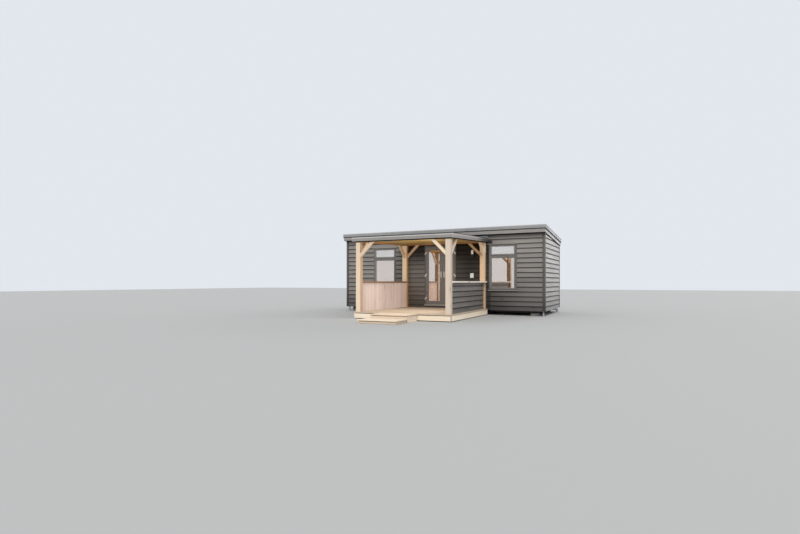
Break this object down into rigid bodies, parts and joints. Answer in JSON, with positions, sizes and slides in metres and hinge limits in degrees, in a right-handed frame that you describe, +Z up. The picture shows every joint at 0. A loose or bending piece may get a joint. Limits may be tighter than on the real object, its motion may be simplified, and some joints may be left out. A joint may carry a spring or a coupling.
{
  "type": "timber cabin with covered porch",
  "caption": "Small single-storey timber cabin on a low base, single-pitch roof, glazed double doors and a deep covered porch with deck, half walls and steps.",
  "frame": {"origin": "on the ground, under the middle of the whole outline, cabin and porch together", "axes": "+X to the right along the front, +Y from the porch towards the rear wall, +Z up"},
  "size_m": [7.532, 7.726, 2.915],
  "materials": {
    "concrete": "rough cast concrete block",
    "dark_steel": "satin dark paint",
    "zinc_steel": "galvanised, dull",
    "underfloor": "raw sheet edges, dusty",
    "dark_boards": "dark grey stain on sawn boards, matte",
    "pale_lining": "painted lining boards, satin",
    "roof_membrane": "rubber roof sheet, matte",
    "grey_fascia": "grey coated edge boards, satin",
    "grey_frames": "dark grey satin window profile",
    "glass": "clear double glazing",
    "threshold": "mill finish sill strip",
    "white_fittings": "white, smooth",
    "deck_timber": "pale planed softwood boards, weathered",
    "post_timber": "sawn softwood, oiled, with knots and drying checks",
    "beam_timber": "planed softwood, warm tone",
    "ceiling_timber": "varnished matchboard, warm yellow brown",
    "lamp_body": "white diffuser with dark base, smooth"
  },
  "bodies": {
    "hut": {"support_blocks": "concrete", "chassis_rails": "dark_steel", "corner_props": "zinc_steel", "floor": "underfloor", "front_wall_left": "dark_boards", "front_wall_over_door": "dark_boards", "front_wall_right": "dark_boards", "rear_wall": "dark_boards", "left_end_wall": "dark_boards", "right_end_wall": "dark_boards", "ceiling": "pale_lining", "roof_deck": "roof_membrane", "roof_fascia": "grey_fascia", "roof_edge_strip": "grey_fascia", "corner_trims": "dark_boards", "left_window_frame": "grey_frames", "right_window_frame": "grey_frames", "window_glass": "glass", "window_sills": "grey_frames", "window_heads": "dark_boards", "door_frame": "grey_frames", "door_threshold": "threshold", "frame_hinges": "white_fittings", "porch_deck": "deck_timber", "deck_frame": "deck_timber", "landing": "deck_timber", "lower_step": "deck_timber", "porch_posts": "post_timber", "porch_beams": "beam_timber", "knee_braces": "post_timber", "half_walls": "dark_boards", "half_wall_rails": "post_timber", "porch_roof": "roof_membrane", "porch_ceiling": "ceiling_timber", "porch_fascia": "grey_fascia", "wall_lamp": "lamp_body", "socket_box": "white_fittings"},
    "door_left": {"left_door": "grey_frames", "left_door_glass": "glass", "left_door_handles": "white_fittings", "left_door_hinges": "white_fittings"},
    "door_right": {"right_door": "grey_frames", "right_door_glass": "glass", "right_door_handles": "white_fittings", "right_door_hinges": "white_fittings"}
  },
  "joints": [
    {"name": "left_door_hinge", "type": "hinge", "parent": "hut", "child": "door_left", "pos_m": [-0.4005, 0.882, 0], "axis": [0, 0, -1], "range_deg": [0, 90]},
    {"name": "right_door_hinge", "type": "hinge", "parent": "hut", "child": "door_right", "pos_m": [0.6805, 0.882, 0], "axis": [0, 0, 1], "range_deg": [0, 90]}
  ]
}
